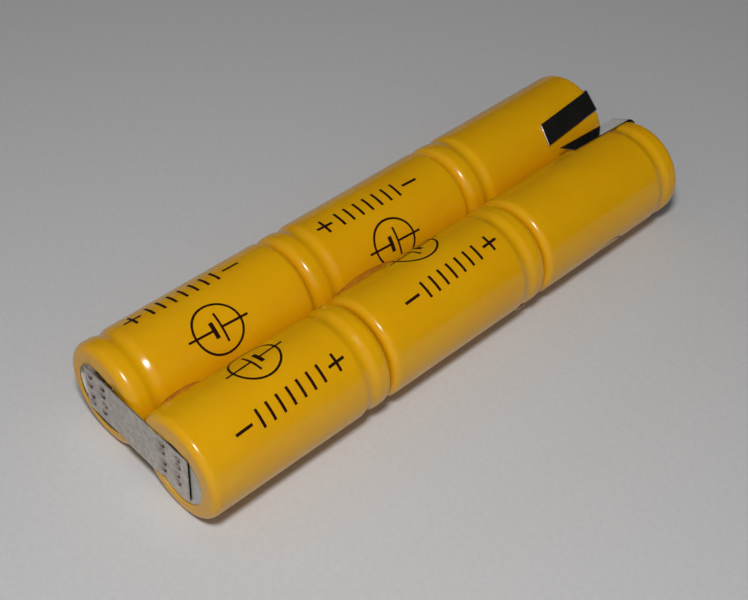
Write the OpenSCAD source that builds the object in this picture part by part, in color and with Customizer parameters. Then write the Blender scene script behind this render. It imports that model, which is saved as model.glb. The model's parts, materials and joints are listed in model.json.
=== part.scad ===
// Battery pack of six sealed cylindrical cells: two sticks of three, lying side by side.
// +Y runs along the sticks towards the solder tabs and +Z is up. The origin is on the
// table, under the middle of the pack. Stick "a" is on the -X side and its positive ends
// face -Y; stick "b" is on the +X side and its positive ends face +Y.
// A cell is drawn in its own frame: base of the can at z = 0, positive end up.

/* [Cell] */
// Diameter of a cell over its sleeve
sleeved_d = 14.3; // [14.1:0.1:14.6]
// Height of a bare cell, from the base of the can to the top of the positive cap
cell_h = 28.2; // [27:0.1:34]
// Distance from the top of the positive cap down to the middle of the bead groove
bead_drop = 3.6; // [3.4:0.1:4]
// Radius of the opening that the sleeve leaves at each end
sleeve_lip_r = 5.0; // [4.9:0.05:5.2]

/* [Pack] */
// Gap between the two sticks at their closest
stick_gap = 0.04; // [0.03:0.01:0.5]
// Gap between one cell and the next, which holds the folded link
link_gap = 0.32; // [0.3:0.01:0.5]

/* [Nickel strip] */
// Thickness of the bridge and the tabs
strip_t = 0.15; // [0.1:0.01:0.15]
// Width of the strip that joins the two sticks
bridge_w = 7.4; // [6:0.1:7.5]
// Width of a solder tab
tab_w = 3.2; // [2:0.1:4]
// Length of a tab's flap, from its fold to its free end
flap_l = 11.7; // [6:0.1:14]
// Direction in which the negative flap faces, up from +X
negative_angle = 48.5; // [40:0.5:70]
// Direction in which the positive flap faces, up from +X
positive_angle = 118; // [110:1:140]
// Sideways slant of the negative flap
negative_slant = 4.5; // [-5:0.5:5]
// Sideways slant of the positive flap
positive_slant = -5; // [-10:0.5:5]

/* [Hidden] */
$fn = 96;
STICKS = ["a", "b"];
CELLS = [1, 2, 3];
CELL_PARTS = ["sleeve", "can", "cap", "lid", "positive_plate", "separator", "negative_plate"];
SHARED_PARTS = [
    "gaskets", "vent_plugs", "insulating_rings", "top_insulators",
    "positive_collectors", "negative_collectors"
];
PACK_PARTS = [
    "link_a1_a2", "link_a2_a3", "link_b1_b2", "link_b2_b3", "front_bridge", "adhesive_beads",
    "negative_tab_foot", "negative_tab_flap", "positive_tab_foot", "positive_tab_flap"
];

// clearances: between pieces that lie against each other, and inside the cell
fit = 0.01;
inner_gap = 0.02;

// sleeve
sleeve_r = sleeved_d / 2;
sleeve_t = 0.15;
sleeve_top = cell_h - 0.1;
sleeve_groove = 0.3;
base_round = 1.0;
crimp_round = 1.3;

// can
can_t = 0.25;
can_groove = 0.55;
groove_half_w = 1.4;
bead_z = cell_h - bead_drop;
crimp_r = 5.35;
can_inner_r = sleeve_r - sleeve_t - can_t;

// closure, from the underside of the lid upwards
lid_r = 6.1;
lid_t = 0.4;
lid_z = cell_h - 2.1;
lid_top = lid_z + lid_t;
vent_hole_r = 0.8;
gasket_inner_r = 5.45;
gasket_z = cell_h - 2.9;
gasket_top = sleeve_top - sleeve_t - can_t - inner_gap;
cap_t = 0.3;
cap_flange_r = 4.3;
cap_r = 3.2;
cap_vent_w = 0.8;
plug_r = 2.1;
ring_inner_r = 3.3;
ring_outer_r = 5.3;
ring_t = 0.26;

// electrode roll: each layer is a spiral of half rings about two centres
separator_t = 0.14;
positive_t = 0.68;
negative_t = 0.55;
core_r = 1.05;
half_turns = 6;
turn_pitch = 2 * separator_t + positive_t + negative_t + 4 * inner_gap;
positive_in = separator_t + inner_gap;
second_separator_in = positive_in + positive_t + inner_gap;
negative_in = second_separator_in + separator_t + inner_gap;
negative_z = can_t + 0.24;
separator_z = negative_z + 0.2;
positive_z = separator_z + 0.3;
positive_top = bead_z - 1.3;
separator_top = positive_top - 0.25;
negative_top = separator_top - 0.3;

// collectors and insulator
collector_t = 0.2;
collector_r = 5.5;
lead_w = 2.5;
lead_x = 3;
insulator_inner_r = 5.6;
insulator_r = 6.6;

// layout of the sticks
stick_x = sleeve_r + stick_gap / 2;
pitch = cell_h + link_gap;
half_l = cell_h / 2 + pitch;

// bridge across the front ends: where it starts and ends, and where it steps over a sleeve
bridge_start = -stick_x - 3.1;
bridge_end = stick_x + 2.4;
step_rise = sleeve_t + 0.02;
step_l = 0.6;
step_out = -stick_x + 4.2;
step_in = stick_x - 3.35;

// links
link_t = 0.12;
link_w = 5;
link_tip = 3;
link_fold_r = 4.5;

// tabs
fold_n = sleeve_r + 0.08 + strip_t / 2;
knuckle_r = 0.11;
flap_start = 0.16;
foot_l = 9.5;
foot_rise = 0.155;
foot_step = 3.3;
negative_offset = -0.8;
positive_offset = -0.9;

// adhesive beads in the valley: middle along Y, half length and height over the cell axis
BEADS = [[-36.3, 3.9, 2.3], [-6, 6.2, 2.5]];
bead_foot = 1.2;
bead_half_w = 1.2;

function arc_points(centre, r, start, end, steps) = [
    for (k = [0:steps])
        let (a = start + (end - start) * k / steps)
        [centre.x + r * cos(a), centre.y + r * sin(a)]
];

function groove_points(r, depth) = [
    for (k = [0:12])
        let (a = -180 + 30 * k)
        [r - depth * (1 + cos(a)) / 2, bead_z + groove_half_w * a / 180]
];

// The wall of a sleeve or a can from its base to its top, as [radius, z] points
function wall(inset, depth, base_r, top_r) =
    let (r = sleeve_r - inset)
    let (base = inset - sleeve_t)
    let (top = sleeve_top - inset)
    let (base_arc = base_round - inset)
    let (top_arc = crimp_round - inset)
    concat(
        [[base_r, base]],
        arc_points([r - base_arc, base + base_arc], base_arc, -90, 0, 6),
        groove_points(r, depth),
        arc_points([r - top_arc, top - top_arc], top_arc, 0, 90, 6),
        [[top_r, top]]
    );

function reversed(list) = [for (k = [len(list) - 1:-1:0]) list[k]];

module shell(outer, inner) {
    rotate_extrude()
        polygon(concat(outer, reversed(inner)));
}

module tube(r, inner_r, h) {
    difference() {
        cylinder(r = r, h = h);
        translate([0, 0, -1])
            cylinder(r = inner_r, h = h + 2);
    }
}

// --- one cell ---

module sleeve() {
    color("goldenrod")
        shell(
            wall(0, sleeve_groove, sleeve_lip_r, sleeve_lip_r),
            wall(sleeve_t - fit, sleeve_groove, sleeve_lip_r, sleeve_lip_r)
        );
}

module can() {
    color("silver")
        shell(
            wall(sleeve_t, can_groove, 0, crimp_r),
            wall(sleeve_t + can_t, can_groove, 0, crimp_r)
        );
}

module cap() {
    color("silver")
        translate([0, 0, lid_top + inner_gap])
            difference() {
                union() {
                    cylinder(r = cap_flange_r, h = cap_t);
                    cylinder(r = cap_r, h = cell_h - lid_top - inner_gap);
                }
                translate([0, 0, -1])
                    cylinder(r = cap_r - cap_t, h = cell_h - lid_top - inner_gap - cap_t + 1);
                for (a = [0, 120, 240])
                    rotate([0, 0, a])
                        translate([0, -cap_vent_w / 2, cap_t + 0.1])
                            cube([cap_r + 1, cap_vent_w, cap_vent_w]);
            }
}

module lid() {
    color("silver")
        translate([0, 0, lid_z])
            tube(lid_r, vent_hole_r, lid_t);
}

// Ring that fills the space between the lid's edge and the bead and crimp of the can
module gasket() {
    color("ivory")
        difference() {
            intersection() {
                translate([0, 0, gasket_z])
                    tube(can_inner_r, gasket_inner_r, gasket_top - gasket_z);
                rotate_extrude()
                    polygon(wall(sleeve_t + can_t + inner_gap, can_groove, 0, 0));
            }
            translate([0, 0, lid_z - inner_gap])
                cylinder(r = lid_r + inner_gap, h = lid_t + 2 * inner_gap);
        }
}

module vent_plug() {
    color("dimgray")
        translate([0, 0, lid_top + inner_gap])
            cylinder(r = plug_r, h = cell_h - cap_t - lid_top - 2 * inner_gap);
}

module insulating_ring() {
    color("white")
        translate([0, 0, lid_top + 2 * inner_gap + cap_t])
            tube(ring_outer_r, ring_inner_r, ring_t);
}

module top_insulator() {
    color("white")
        translate([0, 0, positive_top + inner_gap])
            tube(insulator_r, insulator_inner_r, collector_t);
}

// One layer of the roll, wound in half turns about two centres half a pitch apart
module spiral(inner_r, t, h) {
    for (k = [0:half_turns - 1])
        translate([k % 2 == 0 ? turn_pitch / 2 : 0, 0, 0])
            rotate([0, 0, k % 2 == 0 ? 0 : 180])
                rotate_extrude(angle = 180)
                    translate([inner_r + k * turn_pitch / 2, 0])
                        square([t, h]);
}

module positive_plate() {
    color("darkslategray")
        translate([0, 0, positive_z])
            spiral(core_r + positive_in, positive_t, positive_top - positive_z);
}

module separator() {
    color("white")
        translate([0, 0, separator_z])
            for (inner = [core_r, core_r + second_separator_in])
                spiral(inner, separator_t, separator_top - separator_z);
}

module negative_plate() {
    color("gray")
        translate([0, 0, negative_z])
            spiral(core_r + negative_in, negative_t, negative_top - negative_z);
}

// Disc on top of the roll, with a lead that rises and folds over under the lid
module positive_collector() {
    lead_z = positive_top + inner_gap;
    color("silver") {
        translate([0, 0, lead_z])
            cylinder(r = collector_r, h = collector_t);
        translate([lead_x, -lead_w / 2, lead_z])
            cube([collector_t, lead_w, lid_z - inner_gap - lead_z]);
        translate([vent_hole_r - lead_x, -lead_w / 2, lid_z - inner_gap - collector_t])
            cube([2 * lead_x + collector_t - vent_hole_r, lead_w, collector_t]);
    }
}

module negative_collector() {
    color("silver")
        translate([0, 0, can_t + inner_gap])
            tube(collector_r, core_r, collector_t);
}

// --- places ---

// Puts a cell's own frame at cell i of stick s
module at_cell(s, i) {
    front = (i - 1) * pitch - half_l;
    if (s == "a")
        translate([-stick_x, front + cell_h, sleeve_r])
            rotate([90, 0, 0])
                children();
    else
        translate([stick_x, front, sleeve_r])
            rotate([-90, 0, 0])
                children();
}

module at_every_cell() {
    for (s = STICKS, i = CELLS)
        at_cell(s, i)
            children();
}

// A tab's own frame: x along its fold, y along the stick, z straight out of the stick
module at_tab(x, angle) {
    translate([x, 0, sleeve_r])
        rotate([0, 90 - angle, 0])
            children();
}

// --- pieces of the pack ---

// Strip folded in two between cell i and the next cell of stick s
module link(s, i) {
    color("silver")
        translate([s == "a" ? -stick_x : stick_x, i * pitch - half_l - link_gap, sleeve_r])
            rotate([0, 90, 0])
                translate([0, 0, -link_w / 2])
                    difference() {
                        translate([-link_tip, fit])
                            linear_extrude(link_w)
                                square([link_tip + link_fold_r, link_gap - 2 * fit]);
                        translate([-link_tip - 1, fit + link_t, -1])
                            cube([
                                link_tip + link_fold_r + 1 - link_t,
                                link_gap - 2 * fit - 2 * link_t,
                                link_w + 2
                            ]);
                    }
}

// Strip welded across the front ends, with a step over the sleeve between the cells
module front_bridge() {
    path = [
        [bridge_start, 0],
        [step_out, 0],
        [step_out + step_l, step_rise],
        [step_in, step_rise],
        [step_in + step_l, 0],
        [bridge_end, 0]
    ];
    near = [for (p = path) [p.x, -half_l - fit - p.y]];
    far = [for (p = path) [p.x, -half_l - fit - p.y - strip_t]];
    color("silver")
        translate([0, 0, sleeve_r - bridge_w / 2])
            linear_extrude(bridge_w)
                polygon(concat(near, reversed(far)));
}

module adhesive_beads() {
    color("orange")
        for (b = BEADS)
            adhesive_bead(b[0], b[1], b[2]);
}

// A lens of adhesive that fills the valley up to the given height over the cell axis
module adhesive_bead(y, half_w, top) {
    rise = top - bead_foot;
    lens_r = (pow(half_w, 2) + pow(rise, 2)) / (2 * rise);
    translate([0, y, sleeve_r])
        difference() {
            intersection() {
                translate([0, 0, top - lens_r])
                    rotate([0, 90, 0])
                        cylinder(r = lens_r, h = 2 * bead_half_w, center = true);
                translate([-bead_half_w, -half_w, bead_foot])
                    cube([2 * bead_half_w, 2 * half_w, rise + 1]);
            }
            for (x = [-stick_x, stick_x])
                translate([x, 0, 0])
                    rotate([90, 0, 0])
                        cylinder(r = sleeve_r + fit, h = 2 * half_w + 2, center = true);
        }
}

// The part of a tab that lies along the sleeve and bends up about its fold
module flap(offset_x, slant, fold_y) {
    near_x = offset_x + flap_start * tan(slant);
    near_half = tab_w / 2 / cos(slant);
    tip = [offset_x + flap_l * sin(slant), fold_y - flap_l * cos(slant)];
    side = tab_w / 2 * [cos(slant), sin(slant)];
    color("silver")
        translate([0, 0, fold_n - strip_t / 2])
            linear_extrude(strip_t)
                polygon([
                    [near_x - near_half, fold_y - flap_start],
                    [near_x + near_half, fold_y - flap_start],
                    tip + side,
                    tip - side
                ]);
}

// The part of a tab that is welded to the end of the cell, with the outside of the fold
module foot(offset_x, slant, rise) {
    near_half = tab_w / 2 / cos(slant);
    tip = [offset_x - foot_l * sin(slant), fold_n - foot_l * cos(slant)];
    side = tab_w / 2 * [cos(slant), -sin(slant)];
    path = [
        [fit, fold_n - foot_l - 1],
        [fit, foot_step],
        [fit + rise, foot_step + step_l],
        [fit + rise, fold_n]
    ];
    outer_path = [for (p = path) [p.x + strip_t, p.y]];
    color("silver")
        translate([0, half_l, 0]) {
            intersection() {
                translate([-tab_w * 2, 0, 0])
                    rotate([90, 0, 90])
                        linear_extrude(tab_w * 4)
                            polygon(concat(path, reversed(outer_path)));
                translate([0, 1, 0])
                    rotate([90, 0, 0])
                        linear_extrude(2)
                            polygon([
                                [offset_x - near_half, fold_n],
                                [offset_x + near_half, fold_n],
                                tip + side,
                                tip - side
                            ]);
            }
            translate([offset_x, fold_line_y(rise), fold_n])
                rotate([0, 90, 0])
                    cylinder(r = knuckle_r, h = 2 * near_half, center = true);
        }
}

// How far a fold line stands off the end of its cell
function fold_line_y(rise) = fit + rise + strip_t / 2;

module negative_tab_foot() {
    at_tab(-stick_x, negative_angle)
        foot(negative_offset, negative_slant, foot_rise);
}

module negative_tab_flap() {
    at_tab(-stick_x, negative_angle)
        flap(negative_offset, negative_slant, half_l + fold_line_y(foot_rise));
}

module positive_tab_foot() {
    at_tab(stick_x, positive_angle)
        foot(positive_offset, positive_slant, 0);
}

module positive_tab_flap() {
    at_tab(stick_x, positive_angle)
        flap(positive_offset, positive_slant, half_l + fold_line_y(0));
}

for (s = STICKS, i = CELLS) {
    at_cell(s, i) sleeve();
    at_cell(s, i) can();
    at_cell(s, i) cap();
    at_cell(s, i) lid();
    at_cell(s, i) positive_plate();
    at_cell(s, i) separator();
    at_cell(s, i) negative_plate();
}
for (s = STICKS, i = [1, 2])
    link(s, i);
at_every_cell() gasket();  // gaskets
at_every_cell() vent_plug();  // vent_plugs
at_every_cell() insulating_ring();  // insulating_rings
at_every_cell() top_insulator();  // top_insulators
at_every_cell() positive_collector();  // positive_collectors
at_every_cell() negative_collector();  // negative_collectors
front_bridge();
adhesive_beads();
negative_tab_foot();
negative_tab_flap();
positive_tab_foot();
positive_tab_flap();
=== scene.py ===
"""Looks of a battery pack of six sleeved cells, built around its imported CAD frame."""
import json
import math

import bpy
import numpy as np
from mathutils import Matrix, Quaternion, Vector, noise

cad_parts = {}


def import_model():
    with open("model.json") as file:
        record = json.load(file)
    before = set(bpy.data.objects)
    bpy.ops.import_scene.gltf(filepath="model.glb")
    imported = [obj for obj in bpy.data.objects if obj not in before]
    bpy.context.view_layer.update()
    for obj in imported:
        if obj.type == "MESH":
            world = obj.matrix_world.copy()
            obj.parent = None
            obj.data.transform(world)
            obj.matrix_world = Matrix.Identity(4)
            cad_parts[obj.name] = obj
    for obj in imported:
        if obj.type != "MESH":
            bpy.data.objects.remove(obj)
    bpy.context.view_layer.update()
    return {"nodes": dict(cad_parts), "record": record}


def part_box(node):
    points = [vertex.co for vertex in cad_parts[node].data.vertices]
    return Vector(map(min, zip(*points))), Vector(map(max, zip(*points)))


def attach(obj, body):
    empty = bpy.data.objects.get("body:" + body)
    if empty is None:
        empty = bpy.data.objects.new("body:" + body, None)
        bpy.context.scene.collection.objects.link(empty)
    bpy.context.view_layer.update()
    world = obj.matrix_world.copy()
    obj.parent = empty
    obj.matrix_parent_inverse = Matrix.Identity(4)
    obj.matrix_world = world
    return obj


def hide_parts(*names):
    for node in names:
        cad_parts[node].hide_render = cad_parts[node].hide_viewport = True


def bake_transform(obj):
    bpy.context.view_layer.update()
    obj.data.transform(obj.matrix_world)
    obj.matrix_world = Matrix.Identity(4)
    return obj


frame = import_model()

MM = 0.001
STICKS = "ab"
CELLS = "123"


# --- sizes and places in millimetres, most of them taken from the frame ---

def box_mm(node):
    """Lowest and highest corner of a CAD node's box."""
    lo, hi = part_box(node)
    return np.array(lo) / MM, np.array(hi) / MM


# Sleeve: heights are over the base of the can, and the sleeve's own base is its thickness lower
SLEEVE_LO, SLEEVE_HI = box_mm("sleeve_a1")
R = (SLEEVE_HI[0] - SLEEVE_LO[0]) / 2
SLEEVE_T = 0.15
TOP = SLEEVE_HI[1] - SLEEVE_LO[1] - SLEEVE_T
BASE_ROUND, CRIMP_ROUND = 1.0, 1.3
# Middle of the bead groove, half its width and its depth
BEAD_Z, GROOVE_HALF, GROOVE_DEPTH = 24.6, 1.4, 0.30
# Height of a bare cell, to the top of its cap
CELL_H = 28.2

# Nickel strips: thickness, gap at a weld, and length of a step over a sleeve
STRIP_T = 0.15
WELD_GAP = 0.01
STEP_L = 0.6
# How much further a step's soft start and end reach
STEP_SOFT = 0.3


class Cell:
    """A cell's place: its axis, the height of its base along Y and the way its positive end faces."""

    def __init__(self, name):
        lo, hi = box_mm("sleeve_" + name)
        cap_lo, cap_hi = box_mm("cap_" + name)
        self.name = name
        self.index = STICKS.index(name[0]) * 3 + CELLS.index(name[1])
        self.x = (lo[0] + hi[0]) / 2
        self.z = (lo[2] + hi[2]) / 2
        self.way = 1 if cap_lo[1] + cap_hi[1] > lo[1] + hi[1] else -1
        self.base = (lo[1] if self.way > 0 else hi[1]) + self.way * SLEEVE_T

    def point(self, r, angle, z):
        """Millimetres in the cell's own frame to metres in the row frame; angle is up from +X."""
        return (
            (self.x + r * math.cos(angle)) * MM,
            (self.base + self.way * z) * MM,
            (self.z + r * math.sin(angle)) * MM,
        )


CELL = {s + i: Cell(s + i) for s in STICKS for i in CELLS}


# --- mesh helpers ---

def wobble(x, y, z, seed):
    """Smooth noise from -1 to 1."""
    return noise.noise(Vector((x, y, z + 37.7 * seed)))


def add_to_scene(name, data):
    """A new object in the scene that holds a mesh, a lamp or a camera."""
    obj = bpy.data.objects.new(name, data)
    bpy.context.scene.collection.objects.link(obj)
    return obj


def piece(name, verts, faces, material, replaces=(), body="pack", smooth=True):
    """A piece of the visual model that rides on a body; with no body, it is left unattached."""
    mesh = bpy.data.meshes.new(name)
    mesh.from_pydata(verts, [], faces)
    mesh.validate()
    mesh.materials.append(material)
    mesh.polygons.foreach_set("use_smooth", [smooth] * len(mesh.polygons))
    mesh.update()
    obj = add_to_scene(name, mesh)
    if body:
        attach(obj, body)
    if replaces:
        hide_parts(*replaces)
    return obj


def sharpen(obj, degrees):
    """Keeps edges that turn by more than this crisp under smooth shading."""
    obj.data.set_sharp_from_angle(angle=math.radians(degrees))


def ring_faces(rows, columns, close_rows=False):
    """Quads over rows of points that close on themselves; close_rows joins the last row to the first."""
    faces = []
    for i in range(rows if close_rows else rows - 1):
        k = (i + 1) % rows
        for j in range(columns):
            m = (j + 1) % columns
            faces.append((i * columns + j, i * columns + m, k * columns + m, k * columns + j))
    return faces


def tube_faces(rows, columns):
    """Faces of a closed tube: its sides and a cap at each end."""
    last = (rows - 1) * columns
    caps = [tuple(reversed(range(columns))), tuple(range(last, last + columns))]
    return ring_faces(rows, columns) + caps


def flipped(faces):
    """The same faces, turned to face the other way."""
    return [f[::-1] for f in faces]


def smoothstep(a, b, x):
    """0 below a and 1 above b, with a soft change between them."""
    t = min(1.0, max(0.0, (x - a) / (b - a)))
    return t * t * (3 - 2 * t)


# --- materials ---

class Nodes:
    """A material's node tree, with a Principled shader and short ways to add nodes to it."""

    def __init__(self, name, **sockets):
        self.material = bpy.data.materials.new(name)
        self.material.use_nodes = True
        self.tree = self.material.node_tree
        self.shader = self.tree.nodes["Principled BSDF"]
        for socket, value in sockets.items():
            self.shader.inputs[socket.replace("_", " ")].default_value = value
        self.place = self.tree.nodes.new("ShaderNodeTexCoord").outputs["Object"]

    def add(self, kind, links=(), **values):
        node = self.tree.nodes.new("ShaderNode" + kind)
        for key, value in values.items():
            if hasattr(node, key):
                setattr(node, key, value)
            else:
                node.inputs[key.replace("_", " ")].default_value = value
        for socket, source in links:
            self.tree.links.new(source, node.inputs[socket])
        return node

    def stretch(self, scale):
        return self.add("Mapping", [("Vector", self.place)], Scale=scale).outputs["Vector"]

    def noise(self, scale, detail=3.0, roughness=0.55, vector=None):
        links = [("Vector", vector or self.place)]
        return self.add(
            "TexNoise", links, Scale=scale, Detail=detail, Roughness=roughness
        ).outputs["Fac"]

    def ramp(self, source, first, second):
        """Colour that changes between two stops, each (position, colour)."""
        node = self.add("ValToRGB", [("Fac", source)])
        for element, (position, colour) in zip(node.color_ramp.elements, (first, second)):
            element.position = position
            element.color = (*colour, 1)
        return node.outputs["Color"]

    def range(self, source, low, high, start=0.3, end=0.7):
        """A value from low to high as the source goes from start to end."""
        node = self.add("MapRange", [("Value", source)])
        for socket, value in (("From Min", start), ("From Max", end), ("To Min", low), ("To Max", high)):
            node.inputs[socket].default_value = value
        return node.outputs["Result"]

    def mix(self, factor, a, b):
        """Colour a to colour b by a factor from another node; a and b are colours or sockets."""
        node = self.add("Mix", [(0, factor)], data_type="RGBA")
        for index, value in ((6, a), (7, b)):
            if hasattr(value, "is_linked"):
                self.tree.links.new(value, node.inputs[index])
            else:
                node.inputs[index].default_value = (*value, 1)
        return node.outputs[2]

    def math(self, operation, a, b):
        return self.add("Math", [(0, a), (1, b)], operation=operation).outputs["Value"]

    def colour(self, source):
        self.tree.links.new(source, self.shader.inputs["Base Color"])

    def roughness(self, source):
        self.tree.links.new(source, self.shader.inputs["Roughness"])

    def bump(self, *layers):
        """Each layer is (height, distance in millimetres); they add up."""
        normal = None
        for source, distance in layers:
            links = [("Height", source)] + ([("Normal", normal)] if normal else [])
            node = self.add("Bump", links, Distance=distance * MM, Strength=1.0)
            normal = node.outputs["Normal"]
        self.tree.links.new(normal, self.shader.inputs["Normal"])


def sleeve_material():
    """Glossy shrink film with faint mottling and a few dark specks."""
    n = Nodes(
        "sleeve_pvc",
        IOR=1.47,
        Subsurface_Weight=0.25,
        Subsurface_Radius=(1.0, 0.4, 0.05),
        Subsurface_Scale=0.0008,
    )
    broad = n.noise(90, 2)
    fine = n.noise(900, 4)
    base = n.ramp(broad, (0.3, (0.76, 0.355, 0.0015)), (0.7, (0.81, 0.395, 0.002)))
    base = n.mix(n.range(fine, 0, 0.12), base, (0.70, 0.29, 0.002))
    cells = n.add("TexVoronoi", [("Vector", n.place)], feature="F1", Scale=260.0)
    dot = n.range(cells.outputs["Distance"], 1, 0, 0.035, 0.06)
    chosen = n.range(cells.outputs["Color"], 0, 1, 0.80, 0.82)
    base = n.mix(n.math("MULTIPLY", dot, chosen), base, (0.10, 0.045, 0.004))
    n.colour(base)
    n.roughness(n.range(n.noise(420, 3), 0.17, 0.26))
    n.bump((n.noise(160, 2), 0.05), (n.noise(1500, 3), 0.004))
    return n.material


def steel_material(name, colour, rough):
    """Plated steel, with painted shade that turns it near black where a strip or a sleeve's lip leaves only a
    narrow gap over it.
    """
    n = Nodes(name, Metallic=1.0)
    broad = n.noise(500, 3)
    fine = n.noise(2600, 4)
    dark = tuple(0.82 * c for c in colour)
    # ambient occlusion drives painted shade: the steel goes near black in narrow gaps and recesses
    painted_shade_ao = n.add("AmbientOcclusion", samples=8, Distance=0.0007).outputs["AO"]
    clean = n.mix(n.range(broad, 0, 1), dark, colour)
    n.colour(n.mix(n.range(painted_shade_ao, 0, 1, 0.45, 0.80), (0.012, 0.009, 0.007), clean))
    n.roughness(n.range(fine, rough * 0.75, rough * 1.3))
    n.bump((fine, 0.004))
    return n.material


def nickel_material(name, rough, colour, relief, stain):
    """Rolled strip: streaks along it, stains, and heat tint where the mesh says it was welded."""
    n = Nodes(name, Metallic=1.0)
    rolled = n.noise(1500, 4, vector=n.stretch((0.12, 1, 1)))
    cloud = n.noise(420, 4)
    base = n.mix(n.range(cloud, 0, 1, 0.4, 0.6), tuple(0.86 * c for c in colour), colour)
    base = n.mix(n.range(rolled, 0, 0.3), base, (0.36, 0.34, 0.31))
    base = n.mix(n.range(n.noise(1300, 4), 0, stain, 0.42, 0.6), base, (0.30, 0.27, 0.26))
    tint = n.add("Attribute", attribute_name="weld_tint").outputs["Fac"]
    base = n.mix(n.range(tint, 0, 1, 0.05, 0.45), base, (0.30, 0.20, 0.19))
    n.colour(n.mix(n.range(tint, 0, 1, 0.35, 0.9), base, (0.035, 0.022, 0.030)))
    n.roughness(n.math("ADD", n.range(cloud, rough * 0.8, rough * 1.25), n.range(tint, 0, 0.2, 0, 1)))
    n.bump((rolled, relief), (n.noise(1100, 4), relief * 2))
    return n.material


def plain_material(name, dark, light, rough, scale, relief):
    """Non-metal with two-tone grain, for the ring, gasket, plug, plates and felt."""
    n = Nodes(name)
    grain = n.noise(scale, 5)
    n.colour(n.mix(n.range(grain, 0, 1), dark, light))
    n.roughness(n.range(n.noise(scale * 0.4, 3), rough * 0.9, min(1.0, rough * 1.1)))
    n.bump((grain, relief))
    return n.material


def amber_material():
    """Clear brown adhesive of the beads and the drop."""
    n = Nodes("adhesive_amber", IOR=1.5, Transmission_Weight=0.25)
    cloud = n.noise(700, 4)
    n.colour(n.mix(n.range(cloud, 0, 1), (0.46, 0.15, 0.008), (0.64, 0.26, 0.016)))
    n.roughness(n.range(n.noise(1800, 3), 0.05, 0.14))
    n.bump((n.noise(900, 2), 0.02))
    return n.material


def thread_material():
    """Pale adhesive of the loose thread."""
    n = Nodes("adhesive_thread", IOR=1.48, Transmission_Weight=0.3)
    cloud = n.noise(1600, 3)
    n.colour(n.mix(n.range(cloud, 0, 1), (0.86, 0.66, 0.42), (0.95, 0.82, 0.62)))
    n.roughness(n.range(n.noise(3000, 2), 0.15, 0.3))
    n.bump((n.noise(2400, 2), 0.01))
    return n.material


def ink_material():
    """Dark brown ink, thin in places."""
    n = Nodes("black_ink", IOR=1.25, Specular_IOR_Level=0.2)
    worn = n.noise(5200, 4)
    n.colour(n.mix(n.range(worn, 0, 1, 0.55, 0.75), (0.018, 0.004, 0.003), (0.07, 0.028, 0.008)))
    n.roughness(n.range(n.noise(2200, 3), 0.28, 0.4))
    n.bump((worn, 0.002))
    return n.material


NICKEL = nickel_material("nickel_bridge", 0.36, (0.68, 0.64, 0.58), 0.005, 0.45)
TAB_NICKEL = nickel_material("nickel_tab", 0.10, (0.58, 0.56, 0.53), 0.0015, 0.1)
INK = ink_material()
THREAD = thread_material()
MATERIAL = {
    "sleeve": sleeve_material(),
    "can": steel_material("can_steel", (0.60, 0.59, 0.56), 0.34),
    "cap": steel_material("cap_steel", (0.66, 0.65, 0.62), 0.25),
    "lid": steel_material("lid_steel", (0.58, 0.57, 0.55), 0.32),
    "nickel_strip": NICKEL,
    "insulating_ring": plain_material(
        "ring_paper", (0.62, 0.60, 0.55), (0.80, 0.79, 0.74), 0.85, 2600, 0.02
    ),
    "gasket": plain_material("gasket_nylon", (0.66, 0.64, 0.56), (0.78, 0.76, 0.68), 0.4, 900, 0.006),
    "vent_plug": plain_material(
        "plug_rubber", (0.012, 0.012, 0.012), (0.035, 0.034, 0.033), 0.7, 1800, 0.01
    ),
    "positive_plate": plain_material(
        "plate_nickel_oxide", (0.03, 0.034, 0.03), (0.08, 0.085, 0.078), 0.9, 2400, 0.02
    ),
    "separator": plain_material(
        "separator_felt", (0.68, 0.68, 0.66), (0.86, 0.86, 0.84), 0.95, 3200, 0.03
    ),
    "negative_plate": plain_material(
        "plate_cadmium", (0.14, 0.14, 0.15), (0.26, 0.26, 0.27), 0.88, 2400, 0.02
    ),
    "adhesive": amber_material(),
}

SLOT_OF = {s["node"]: s["material_slot"] for s in frame["record"]["subparts"]}
for node, obj in frame["nodes"].items():
    obj.data.materials.clear()
    obj.data.materials.append(MATERIAL[SLOT_OF[node]])


# --- sleeves ---

# Mean radius of an end's opening and how far its middle lies off the axis along X and Z
OPENING = (5.0, 0.0, 0.0)
# The two openings at the bridge; an end is 0 at the base and 1 at the positive end
UNEVEN_OPENING = {("a1", 1): (4.72, -0.30, -0.48), ("b1", 0): (4.66, -0.02, -0.42)}
# How far the lips over the bridge stand proud of the cells' ends, and between which sines of
# the angle around the cell they rise to that
PROUD = 0.12
PROUD_FROM, PROUD_TO = 0.84, 0.97
# Gap between a sleeve's inner side and its can, and how far the cut edge of an opening bulges
SKIN_GAP = 0.012
CUT_ROUND = 0.05
# Sample points around a sleeve
AROUND = 200


def lip_radius(cell, end, angle):
    """Radius of the sleeve's opening at an end, uneven as a shrunk edge is."""
    seed = cell.index * 2 + end
    c, s = math.cos(angle), math.sin(angle)
    mean, x, z = UNEVEN_OPENING.get((cell.name, end), OPENING)
    broad, fine = wobble(c * 0.9, s * 0.9, 3.1, seed), wobble(c * 3, s * 3, 9.4, seed)
    return mean + x * c + z * s + 0.12 * broad + 0.08 * fine


def groove(z):
    """Depth of the bead groove at a height."""
    a = (z - BEAD_Z) / GROOVE_HALF
    return GROOVE_DEPTH * (1 + math.cos(math.pi * a)) / 2 if abs(a) < 1 else 0.0


def skin_dip(cell, angle, z):
    """How far the shrunk sleeve dips below its nominal radius."""
    c, s = math.cos(angle), math.sin(angle)
    soft = wobble(c * 1.7, s * 1.7, z * 0.16, cell.index)
    ends = 1 - smoothstep(0, 3.5, z) * (1 - smoothstep(TOP - 5.5, TOP - 1, z))
    ripple = wobble(c * 5, s * 5, z * 0.5, cell.index + 20)
    return 0.014 * (1 + soft) / 2 + 0.020 * ends * (1 + ripple) / 2


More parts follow.
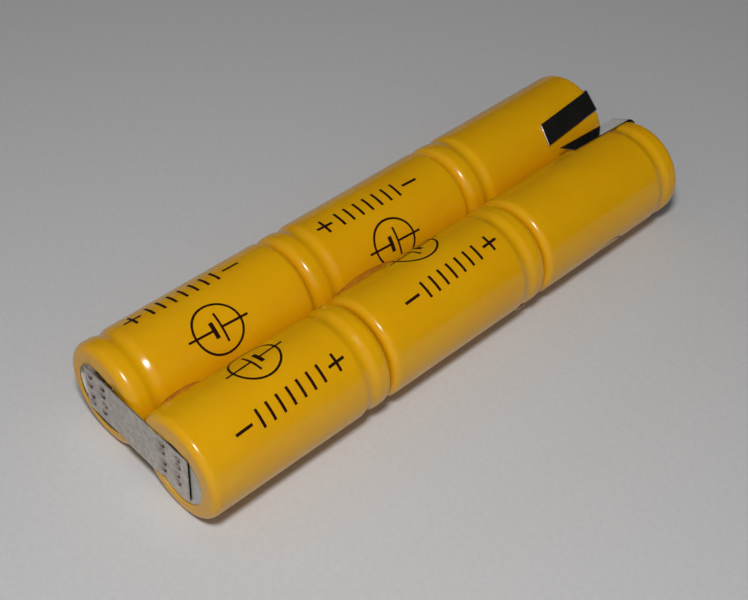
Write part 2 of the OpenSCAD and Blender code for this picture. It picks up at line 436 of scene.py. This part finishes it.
def skin_radius(cell, angle, z):
    return R - groove(z) - skin_dip(cell, angle, z)


def sleeve_profile():
    """Rows of the outer surface from the base opening to the positive opening, as (kind, value, z).
    A wall row's value is its radius. A base or top row's value is its share of the way from the
    opening to the round."""
    groove_from, groove_to = BEAD_Z - GROOVE_HALF, BEAD_Z + GROOVE_HALF
    rows = [("base", t, -SLEEVE_T) for t in np.linspace(0, 1, 7)]
    for a in np.radians(np.linspace(-90, 0, 11)[1:]):
        z = -SLEEVE_T + BASE_ROUND * (1 + math.sin(a))
        rows.append(("wall", R - BASE_ROUND * (1 - math.cos(a)), z))
    rows += [("wall", R, z) for z in np.linspace(-SLEEVE_T + BASE_ROUND, groove_from, 40)[1:]]
    rows += [("wall", R - groove(z), z) for z in np.linspace(groove_from, groove_to, 30)[1:]]
    rows += [("wall", R, z) for z in np.linspace(groove_to, TOP - CRIMP_ROUND, 4)[1:]]
    for a in np.radians(np.linspace(0, 90, 13)[1:]):
        z = TOP - CRIMP_ROUND * (1 - math.sin(a))
        rows.append(("wall", R - CRIMP_ROUND * (1 - math.cos(a)), z))
    rows += [("top", t, TOP) for t in np.linspace(1, 0, 7)[1:]]
    return rows


PROFILE = sleeve_profile()


def sleeve(cell):
    """A closed shell: the outer surface, the inner one and a rounded cut edge at each opening."""
    angles = [2 * math.pi * j / AROUND for j in range(AROUND)]
    outer = np.zeros((len(PROFILE), AROUND, 2))
    for i, (kind, value, z) in enumerate(PROFILE):
        for j, angle in enumerate(angles):
            dip = skin_dip(cell, angle, z)
            if kind == "wall":
                outer[i, j] = value - dip, z
                continue
            end = int(kind == "top")
            c, s = math.cos(angle), math.sin(angle)
            flat = R - (CRIMP_ROUND if end else BASE_ROUND)
            r = lip_radius(cell, end, angle) * (1 - value) + (flat - dip) * value
            sag = 0.03 * (1 - value) * (1 + wobble(c * 4, s * 4, 5, cell.index + 40))
            if (cell.name, end) in UNEVEN_OPENING:
                sag -= PROUD * (1 - value) * smoothstep(PROUD_FROM, PROUD_TO, s)
            outer[i, j] = r, z - sag if end else z + sag
    # the inner surface is the outer one moved along its normal
    step = np.zeros_like(outer)
    step[1:-1] = outer[2:] - outer[:-2]
    step[0], step[-1] = outer[1] - outer[0], outer[-1] - outer[-2]
    step /= np.linalg.norm(step, axis=2, keepdims=True)
    inward = np.stack([-step[..., 1], step[..., 0]], axis=2)
    inner = outer + inward * (SLEEVE_T - SKIN_GAP)
    # a row between the two at each opening rounds the cut edge
    first = (outer[0] + inner[0]) / 2 - step[0] * CUT_ROUND
    last = (outer[-1] + inner[-1]) / 2 + step[-1] * CUT_ROUND
    rows = np.concatenate([first[None], outer, last[None], inner[::-1]])
    verts = [cell.point(r, angles[j], z) for row in rows for j, (r, z) in enumerate(row)]
    faces = ring_faces(len(rows), AROUND, close_rows=True)
    if cell.way > 0:
        faces = flipped(faces)
    name = "sleeve_skin_" + cell.name
    piece(name, verts, faces, MATERIAL["sleeve"], ["sleeve_" + cell.name])


for cell in CELL.values():
    sleeve(cell)


# --- generic printed marks: polarity signs with a bar gauge between them, and a cell symbol ---

# Angle of the middle of each cell's line of marks, and of its symbol, up from +X
PRINT = {
    "a1": (110, 52), "a2": (85, 33), "a3": (230, 175),
    "b1": (54.5, 109), "b2": (71, 127), "b3": (-96, -41),
}
# Where the line of marks starts and ends along the cell, and how tall its marks are
LINE_FROM, LINE_TO = 5.3, 22.4
MARK_H = 3.1
# Width of a stroke, and height of the symbol's middle
STROKE = 0.40
SYMBOL_Z = 13.7
# How far the print climbs around the cell per millimetre along it
SKEW = 0.05
# How far the ink stands over the film, and how deep its underside lies inside it
INK_RISE, INK_SINK = 0.003, 0.04


def circle(r, steps=40):
    """Points of a circle about the origin; the last is the first again."""
    turns = [math.radians(360 * k / steps) for k in range(steps + 1)]
    return [(r * math.cos(turn), r * math.sin(turn)) for turn in turns]


def line_marks():
    """Strokes of the line as point lists, u along the cell from base to positive end, v around it."""
    h = MARK_H / 2
    strokes = [
        ([(LINE_FROM, 0), (LINE_FROM + 1.6 * h, 0)], STROKE),
        ([(LINE_TO - 1.6 * h, 0), (LINE_TO, 0)], STROKE),
        ([(LINE_TO - 0.8 * h, -0.8 * h), (LINE_TO - 0.8 * h, 0.8 * h)], STROKE),
    ]
    bars = np.linspace(LINE_FROM + 2.4 * h, LINE_TO - 2.4 * h, 7)
    strokes += [([(u, -h * 0.8), (u, h * 0.8)], STROKE) for u in bars]
    return strokes


def symbol_marks():
    """A ring round the sign for a cell: a long thin plate and a short thick one with their leads."""
    thin, thick = STROKE * 0.8, STROKE * 1.5
    return [
        (circle(3.3), thin),
        ([(-4.4, 0), (-0.5, 0)], thin),
        ([(0.6, 0), (4.4, 0)], thin),
        ([(-0.5, -2.0), (-0.5, 2.0)], thin),
        ([(0.6, -1.1), (0.6, 1.1)], thick),
    ]


def densify(points, step=0.22):
    """The same line with points no further apart than a step."""
    out = [points[0]]
    for a, b in zip(points, points[1:]):
        n = max(1, math.ceil(math.dist(a, b) / step))
        out += [(a[0] + (b[0] - a[0]) * k / n, a[1] + (b[1] - a[1]) * k / n) for k in range(1, n + 1)]
    return out


def print_marks(cell):
    """The marks as thin closed bars of ink that follow the film; each point of a stroke becomes an
    outer and an inner vertex on either side."""
    verts, faces = [], []
    line_angle, symbol_angle = PRINT[cell.name]
    groups = [(line_marks(), 0.0, line_angle), (symbol_marks(), SYMBOL_Z, symbol_angle)]
    for strokes, z0, middle in groups:
        for points, width in strokes:
            points = densify(points)
            closed = math.dist(points[0], points[-1]) < 1e-6
            if closed:
                points = points[:-1]
            count = len(points)
            start = len(verts)
            for k, (u, v) in enumerate(points):
                before = points[k - 1] if closed else points[max(0, k - 1)]
                after = points[(k + 1) % count] if closed else points[min(count - 1, k + 1)]
                du, dv = after[0] - before[0], after[1] - before[1]
                length = math.hypot(du, dv)
                side = (-dv / length * width / 2, du / length * width / 2)
                for sign in (-1, 1):
                    z = z0 + u + sign * side[0]
                    angle = math.radians(middle) + (v + sign * side[1] + SKEW * (z - SYMBOL_Z)) / R
                    r = skin_radius(cell, angle, z)
                    verts.append(cell.point(r + INK_RISE, angle, z))
                    verts.append(cell.point(r - INK_SINK, angle, z))
            for k in range(count if closed else count - 1):
                a, b = start + 4 * k, start + 4 * ((k + 1) % count)
                faces += [
                    (a, a + 2, b + 2, b), (a + 1, b + 1, b + 3, a + 3),
                    (a, b, b + 1, a + 1), (a + 2, a + 3, b + 3, b + 2),
                ]
            if not closed:
                end = start + 4 * (count - 1)
                faces += [(start, start + 1, start + 3, start + 2), (end, end + 2, end + 3, end + 1)]
    if cell.way > 0:
        faces = flipped(faces)
    piece("print_" + cell.name, verts, faces, INK, smooth=False)


for cell in CELL.values():
    print_marks(cell)


# --- nickel strips ---

# Width and depth of the rolled-over edge that the shears leave round a strip
EDGE_W, EDGE_DROP = 0.07, 0.05
# Radius of a weld pit, and the angle above which an edge of a strip stays crisp
BRIDGE_WELD_R, TAB_WELD_R = 0.42, 0.26
CRISP = 28


def weld_marks(welds, w, s):
    """Depth at a place on a strip of its weld pits, and how dark the heat has tinted it: each pit
    has a raised rim and a dark crescent that opens to one side."""
    dip = tint = 0.0
    for cw, cs, radius, depth, side in welds:
        d = math.hypot(w - cw, s - cs) / radius
        if d < 4:
            dip += depth * (math.exp(-d ** 4) - 0.25 * math.exp(-((d - 1.45) / 0.35) ** 2))
            crescent = (1 + math.cos(math.atan2(w - cw, s - cs) - side)) / 2
            tint += math.exp(-((d - 0.9) / 0.38) ** 2) * (0.1 + 0.8 * crescent)
            tint += 0.1 * math.exp(-(d / 2) ** 2)
    return dip, min(1.0, tint)


def strip(name, across, along, place, material, welds, replaces, body="pack"):
    """A strip as a closed shell. across and along are sample positions on the flat strip, and place
    gives (point, outward normal) for a position. Welds are (across, along, radius, depth, side)."""
    rows, columns = len(along), len(across)
    verts, tints = [], []
    for side in (1, -1):
        for s in along:
            for w in across:
                point, normal = place(w, s)
                dip, tint = weld_marks(welds, w, s)
                edge = min(w - across[0], across[-1] - w, s - along[0], along[-1] - s)
                dip += EDGE_DROP * max(0.0, 1 - edge / EDGE_W)
                lift = side * STRIP_T / 2 - (dip if side > 0 else 0)
                verts.append(tuple((np.array(point) + np.array(normal) * lift) * MM))
                tints.append(tint if side > 0 else 0.0)
    faces = []
    block = rows * columns
    for i in range(rows - 1):
        for j in range(columns - 1):
            a = i * columns + j
            quad = (a, a + columns, a + columns + 1, a + 1)
            faces.append(quad)
            faces.append(tuple(block + k for k in quad[::-1]))
    border = list(range(columns))
    border += [i * columns + columns - 1 for i in range(1, rows)]
    border += [(rows - 1) * columns + j for j in range(columns - 2, -1, -1)]
    border += [i * columns for i in range(rows - 2, 0, -1)]
    for a, b in zip(border, border[1:] + border[:1]):
        faces.append((a, b, block + b, block + a))
    obj = piece(name, verts, faces, material, replaces, body)
    attribute = obj.data.attributes.new("weld_tint", "FLOAT", "POINT")
    attribute.data.foreach_set("value", tints)
    sharpen(obj, CRISP)
    return obj


def samples(low, high, step):
    """Even positions from low to high, about a step apart."""
    return [float(v) for v in np.linspace(low, high, max(2, round((high - low) / step) + 1))]


def edged(values):
    """The same samples with one more close to each end, for the rolled-over edge."""
    return [values[0], values[0] + EDGE_W, *values[1:-1], values[-1] - EDGE_W, values[-1]]


BRIDGE_LO, BRIDGE_HI = box_mm("front_bridge")
STEP_RISE = BRIDGE_HI[1] - BRIDGE_LO[1] - STRIP_T
# Where the steps over the sleeves start, from the axes of the sticks along X
STEP_OUT, STEP_IN = 4.2, -3.35
# How far the bridge's top edge and +X end stand off the cells, and over what width they curl up
CURL = 0.13
CURL_TOP_W, CURL_END_W = 1.1, 1.3
# How far the cut at the -X end leans, and over what length that fades
CUT_SKEW = 0.15
CUT_FADE = 5
# Spacing of the bridge's sample points
BRIDGE_STEP = 0.09
# Places of its weld pits: along X from a cell's axis, and up Z from the bridge's middle
BRIDGE_WELD_X = (("a1", -2.1), ("a1", 0.4), ("b1", -2.4), ("b1", 0.3))
BRIDGE_WELD_Z = (2.3, 0.9, -0.8, -2.2)


def bridge_place(w, s):
    """Middle of the bridge's thickness: s runs along X and w up Z."""
    step_out, step_in = CELL["a1"].x + STEP_OUT, CELL["b1"].x + STEP_IN
    rise = STEP_RISE * (
        smoothstep(step_out - STEP_SOFT, step_out + STEP_L + STEP_SOFT, s)
        - smoothstep(step_in - STEP_SOFT, step_in + STEP_L + STEP_SOFT, s)
    )
    dent = 0.02 * (1 + wobble(s * 0.22, w * 0.25, 1.5, 60))
    seated = 1 - rise / STEP_RISE
    curl = max(
        smoothstep(BRIDGE_HI[0] - CURL_END_W, BRIDGE_HI[0], s),
        smoothstep(BRIDGE_HI[2] - CURL_TOP_W, BRIDGE_HI[2], w),
    )
    y = BRIDGE_HI[1] - STRIP_T / 2 - rise + dent * (1 - seated) - CURL * curl * seated
    near_cut = 1 - smoothstep(BRIDGE_LO[0], BRIDGE_LO[0] + CUT_FADE, s)
    x = s - CUT_SKEW * near_cut * (w - BRIDGE_LO[2]) / (BRIDGE_HI[2] - BRIDGE_LO[2])
    return (x, y, w), (0, -1, 0)


def bridge():
    """The strip across the front ends, with two columns of four weld pits on each cell."""
    middle = (BRIDGE_LO[2] + BRIDGE_HI[2]) / 2
    welds = []
    rng = np.random.default_rng(5)
    for name, offset in BRIDGE_WELD_X:
        x = CELL[name].x + offset
        for z in BRIDGE_WELD_Z:
            up, right = rng.uniform(-0.15, 0.15, 2)
            depth, side = rng.uniform(0.045, 0.07), rng.uniform(-0.8, 0.8)
            welds.append((middle + z + up, x + right, BRIDGE_WELD_R, depth, side))
    strip(
        "bridge_strip",
        edged(samples(BRIDGE_LO[2], BRIDGE_HI[2], BRIDGE_STEP)),
        edged(samples(BRIDGE_LO[0], BRIDGE_HI[0], BRIDGE_STEP)),
        bridge_place, NICKEL, welds, ["front_bridge"],
    )


bridge()


class Tab:
    """A solder tab: a straight strip folded along a line across the end of its stick."""

    BEND_R = 1.05
    FOOT_L, FLAP_L, HALF_W = 9.5, 11.7, 1.6
    # where the foot steps over the sleeve's lip, out from the axis
    FOOT_STEP = 3.3
    # gap between the flap and the sleeve
    FLAP_GAP = 0.08
    # how far from the fold two points lie, one on the foot and one on the flap
    REACH = 1.2
    # how far from the fold its sample points lie closer together
    FINE = 1.1
    # places of the foot's weld pits across it and along it from the fold, and their depth
    WELD_ACROSS, WELD_ALONG, WELD_DEPTH = (-0.8, 0.8), (-8.6, -7.2, -5.8), 0.035

    def __init__(self, name, cell, angle, slant, offset, rise, skew=0.0):
        """angle is the way the flap faces, up from +X, slant its sideways lean, offset its place
        across the stick, rise the height of the foot's step, and skew how much longer the flap gets
        per millimetre across it, where the cut isn't square."""
        self.name, self.cell = name, cell
        self.slant = math.radians(slant)
        self.offset, self.rise, self.skew = offset, rise, skew
        turn = math.radians(angle)
        self.across = np.array([math.sin(turn), 0, -math.cos(turn)])
        self.out = np.array([math.cos(turn), 0, math.sin(turn)])
        self.origin = np.array([cell.x, 0, cell.z])
        end_y = cell.base + (CELL_H if cell.way > 0 else 0)
        self.fold_y = end_y + WELD_GAP + rise + STRIP_T / 2
        self.fold_n = R + self.FLAP_GAP + STRIP_T / 2

    def world(self, a, y, n):
        """Place in the row frame of a across the stick, y along it and n out from its axis."""
        return self.origin + self.across * a + self.out * n + np.array([0, y, 0])

    def place(self, w, s):
        """s is the distance past the fold along the strip and w the place across it."""
        if s > 0:
            s *= 1 + self.skew * w / self.FLAP_L
        a = self.offset + s * math.sin(self.slant) + w * math.cos(self.slant)
        past = s * math.cos(self.slant) - w * math.sin(self.slant)
        half_arc = math.pi * self.BEND_R / 4
        y_hat = np.array([0, 1, 0])
        if past < -half_arc:
            n = self.fold_n - self.BEND_R + past + half_arc
            step_from, step_to = self.FOOT_STEP - STEP_SOFT, self.FOOT_STEP + STEP_L + STEP_SOFT
            drop = self.rise * (1 - smoothstep(step_from, step_to, n))
            return self.world(a, self.fold_y - drop, n), y_hat
        if past > half_arc:
            return self.world(a, self.fold_y - self.BEND_R - (past - half_arc), self.fold_n), self.out
        turn = (past + half_arc) / self.BEND_R
        y = self.fold_y - self.BEND_R + self.BEND_R * math.cos(turn)
        n = self.fold_n - self.BEND_R + self.BEND_R * math.sin(turn)
        return self.world(a, y, n), y_hat * math.cos(turn) + self.out * math.sin(turn)

    def build(self, body):
        """Makes the strip, folded at its fold, in place of the CAD foot and flap of this body."""
        half_arc = math.pi * self.BEND_R / 4
        # the flap's straight part reaches as far as one whose fold is a sharp corner
        bend = self.BEND_R - half_arc
        along = samples(-self.FOOT_L + bend, -self.FINE, 0.12) + samples(-self.FINE, self.FINE, 0.06)[1:]
        along += samples(self.FINE, self.FLAP_L - bend, 0.2)[1:]
        rng = np.random.default_rng(11 + self.cell.index)
        welds = [
            (w + rng.uniform(-0.1, 0.1), s + rng.uniform(-0.15, 0.15), TAB_WELD_R, self.WELD_DEPTH, 0.0)
            for w in self.WELD_ACROSS for s in self.WELD_ALONG
        ]
        obj = strip(
            self.name,
            edged(samples(-self.HALF_W, self.HALF_W, 0.1)),
            edged(along),
            self.place, TAB_NICKEL, welds, [body + "_foot", body + "_flap"], body=None,
        )
        start = self.world(self.offset, self.fold_y, self.fold_n - self.REACH) * MM
        end = self.world(self.offset, self.fold_y - self.REACH, self.fold_n) * MM
        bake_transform(obj)


Tab(
    "negative_solder_tab", CELL["a3"], angle=48.5, slant=4.5, offset=-0.8, rise=0.155, skew=0.24
).build("negative_tab")
Tab("positive_solder_tab", CELL["b3"], angle=118, slant=-5, offset=-0.9, rise=0.0).build("positive_tab")


# --- adhesive in the valley between the sticks ---

STICK_X, AXIS_Z = CELL["b1"].x, CELL["b1"].z
# How far the adhesive reaches into the sleeves' nominal radius, so that no gap shows
SOAK = 0.02
# Lowest level of the beads over the axes, and how far their middle sinks below their edges
BEAD_FOOT = 1.2
BEAD_HOLLOW = 0.252


def valley_half_width(height):
    """Half the gap between the sticks at a height over their axes."""
    return STICK_X - math.sqrt(max(0.0, (R - SOAK) ** 2 - height ** 2))


def adhesive_bead(name, y0, half_l, top, seed, replaces=()):
    """A blob that wets both sleeves: a closed tube of cross-sections with a hollow top."""
    foot = BEAD_FOOT
    verts, ring = [], 0
    stations = np.linspace(-1, 1, 61)
    # points up each side of a cross-section, and steps over its top
    side_points, top_steps = 6, 12
    for t in stations:
        y = y0 + half_l * t
        fill = (1 - t * t) ** 0.6 if abs(t) < 1 else 0.0
        rise = (top - foot) * fill * (1 + 0.06 * wobble(t * 2.5, 1, 0, seed)) + 0.02
        left, right = (
            foot + min(top - foot, rise * (1 + 0.05 * wobble(t * 3, side, 0, seed + 1))) for side in (3, 7)
        )
        section = []
        for k in range(side_points):
            h = foot + (left - foot) * k / side_points
            section.append((-valley_half_width(h), h))
        for k in range(top_steps + 1):
            u = -1 + 2 * k / top_steps
            edge = left + (right - left) * (u + 1) / 2
            x = u * (valley_half_width(left) if u < 0 else valley_half_width(right))
            section.append((x, edge - BEAD_HOLLOW * (edge - foot) * (1 - u * u)))
        for k in reversed(range(side_points)):
            h = foot + (right - foot) * k / side_points
            section.append((valley_half_width(h), h))
        ring = len(section)
        verts += [(x * MM, y * MM, (AXIS_Z + h) * MM) for x, h in section]
    faces = tube_faces(len(stations), ring)
    sharpen(piece(name, verts, faces, MATERIAL["adhesive"], replaces), 60)


def adhesive_drop(name, y, top, radius):
    """A drop of adhesive that has set on a bead."""
    rows, columns = 9, 16
    verts = []
    for i in range(rows):
        polar = math.pi * (i + 0.5) / rows
        for j in range(columns):
            turn = 2 * math.pi * j / columns
            verts.append((
                radius * math.sin(polar) * math.cos(turn) * MM,
                (y + 1.3 * radius * math.sin(polar) * math.sin(turn)) * MM,
                (AXIS_Z + top + radius * math.cos(polar)) * MM,
            ))
    piece(name, verts, flipped(tube_faces(rows, columns)), MATERIAL["adhesive"])


def adhesive_thread(name, knots, radius):
    """A round thread of set adhesive through the knots, given in millimetres in the row frame."""
    knots = [np.array(p) for p in [knots[0]] + knots + [knots[-1]]]
    path = []
    for a, b, c, d in zip(knots, knots[1:], knots[2:], knots[3:]):
        slope, bend, twist = (c - a) / 2, a - 2.5 * b + 2 * c - d / 2, (3 * (b - c) + d - a) / 2
        path += [b + t * slope + t * t * bend + t ** 3 * twist for t in np.linspace(0, 1, 9)[:-1]]
    path.append(knots[-1])
    columns = 10
    verts = []
    for k, p in enumerate(path):
        ahead = path[min(k + 1, len(path) - 1)] - path[max(k - 1, 0)]
        side = np.cross(ahead, (0, 0, 1))
        side /= np.linalg.norm(side)
        up = np.cross(side, ahead)
        up /= np.linalg.norm(up)
        thick = radius * (1 + 0.3 * wobble(k * 0.3, 2, 0, 90))
        for j in range(columns):
            turn = 2 * math.pi * j / columns
            verts.append(tuple((p + thick * (side * math.cos(turn) + up * math.sin(turn))) * MM))
    piece(name, verts, flipped(tube_faces(len(path), columns)), THREAD)


adhesive_thread(
    "adhesive_thread",
    [
        (11.95, 13.1, 2.1), (12.45, 12.4, 1.9), (12.62, 11.7, 1.95),
        (12.5, 10.6, 2.0), (12.2, 10.3, 2.1), (12.0, 11.0, 2.0),
    ],
    radius=0.07,
)
adhesive_drop("adhesive_drop", y=-37.9, top=2.36, radius=0.30)
adhesive_bead("adhesive_front", y0=-36.3, half_l=3.9, top=2.5, seed=71, replaces=["adhesive_beads"])
adhesive_bead("adhesive_middle", y0=-6.0, half_l=6.2, top=2.8, seed=75)


# --- stage, light and camera ---

# Half the width of the card, in metres, and the light of the room on it: how strong it gets, and
# between which distances from the middle it grows
CARD_HALF = 3.0
FAR_GLOW, FAR_FROM, FAR_TO = 0.5, 0.13, 0.50
# The room: its darkest level, then soft glows as (direction, start, end, level), where start and
# end are cosines of the angle from that direction
AMBIENT = 0.007
GLOWS = (
    ((-0.45, -0.55, 0.70), 0.35, 0.95, 0.13),
    ((0.78, -0.60, 0.16), 0.30, 0.95, 0.42),
)
# The key lamp in metres and watts
KEY_PLACE, KEY_AIM = (0.078, -0.097, 0.205), (0.0, -0.01, 0.007)
KEY_RADIUS, KEY_POWER = 0.018, 0.345
KEY_COLOUR = (1.0, 0.99, 0.985)
# The camera: azimuth from -Y towards +X, elevation and roll in degrees, then its target and its
# distance from it in millimetres
AZIMUTH, ELEVATION, ROLL = 43.86, 44.41, 3.48
TARGET, DISTANCE = (2.25, -6.12, 7.15), 182.35
LENS, SHIFT_X, SHIFT_Y = 67.36, -0.0032, -0.0005


def floor():
    """A plain light card under the pack."""
    mesh = bpy.data.meshes.new("floor")
    corners = [(x * CARD_HALF, y * CARD_HALF, 0) for x, y in ((-1, -1), (1, -1), (1, 1), (-1, 1))]
    mesh.from_pydata(corners, [], [(0, 1, 2, 3)])
    n = Nodes("floor_card", Emission_Color=(1, 1, 1, 1))
    n.colour(n.mix(n.range(n.noise(1400, 4), 0, 1), (0.57, 0.57, 0.575), (0.605, 0.605, 0.61)))
    n.roughness(n.range(n.noise(900, 3), 0.8, 0.9))
    n.bump((n.noise(2600, 3), 0.01))
    # far from the lamp the card is lit by the room, which the strips reflect
    spread = n.add("VectorMath", [("Vector", n.place)], operation="LENGTH").outputs["Value"]
    glow = n.range(spread, 0, FAR_GLOW, FAR_FROM, FAR_TO)
    n.tree.links.new(glow, n.shader.inputs["Emission Strength"])
    mesh.materials.append(n.material)
    add_to_scene("floor", mesh)


def aim(obj, place, target, roll=0.0):
    """Puts a lamp or camera at a place, facing a target."""
    look = (Vector(target) - Vector(place)).to_track_quat("-Z", "Y")
    obj.location = place
    obj.rotation_mode = "QUATERNION"
    obj.rotation_quaternion = look @ Quaternion((0, 0, 1), roll)


def key_light():
    """The one lamp."""
    lamp = bpy.data.lights.new("key", "AREA")
    lamp.shape = "DISK"
    lamp.size = 2 * KEY_RADIUS
    lamp.energy = KEY_POWER
    lamp.color = KEY_COLOUR
    aim(add_to_scene("key", lamp), KEY_PLACE, KEY_AIM)


def world():
    """Dark room with a soft glow overhead on the viewer's side and a lighter wall low on the right."""
    w = bpy.data.worlds.new("studio")
    w.use_nodes = True
    tree = w.node_tree
    place = tree.nodes.new("ShaderNodeTexCoord").outputs["Generated"]
    levels = []
    for direction, start, end, level in GLOWS:
        dot = tree.nodes.new("ShaderNodeVectorMath")
        dot.operation = "DOT_PRODUCT"
        dot.inputs[1].default_value = direction
        tree.links.new(place, dot.inputs[0])
        ramp = tree.nodes.new("ShaderNodeMapRange")
        ramp.interpolation_type = "SMOOTHSTEP"
        for socket, value in (("From Min", start), ("From Max", end), ("To Min", AMBIENT), ("To Max", level)):
            ramp.inputs[socket].default_value = value
        tree.links.new(dot.outputs["Value"], ramp.inputs["Value"])
        levels.append(ramp.outputs["Result"])
    total = tree.nodes.new("ShaderNodeMath")
    total.operation = "ADD"
    for level, socket in zip(levels, total.inputs):
        tree.links.new(level, socket)
    tree.links.new(total.outputs["Value"], tree.nodes["Background"].inputs["Color"])
    bpy.context.scene.world = w


def camera():
    """A view from above, over the corner between the bridge and the near stick."""
    azimuth, elevation, roll = (math.radians(v) for v in (AZIMUTH, ELEVATION, ROLL))
    target = Vector(TARGET) * MM
    back = Vector((
        math.sin(azimuth) * math.cos(elevation),
        -math.cos(azimuth) * math.cos(elevation),
        math.sin(elevation),
    ))
    data = bpy.data.cameras.new("camera")
    data.sensor_width = 36.0
    data.lens = LENS
    data.shift_x, data.shift_y = SHIFT_X, SHIFT_Y
    data.clip_start, data.clip_end = 0.01, 50
    obj = add_to_scene("camera", data)
    aim(obj, target + back * DISTANCE * MM, target, roll)
    bpy.context.scene.camera = obj


floor()
world()
camera()
key_light()

bpy.context.scene.view_settings.view_transform = "Standard"
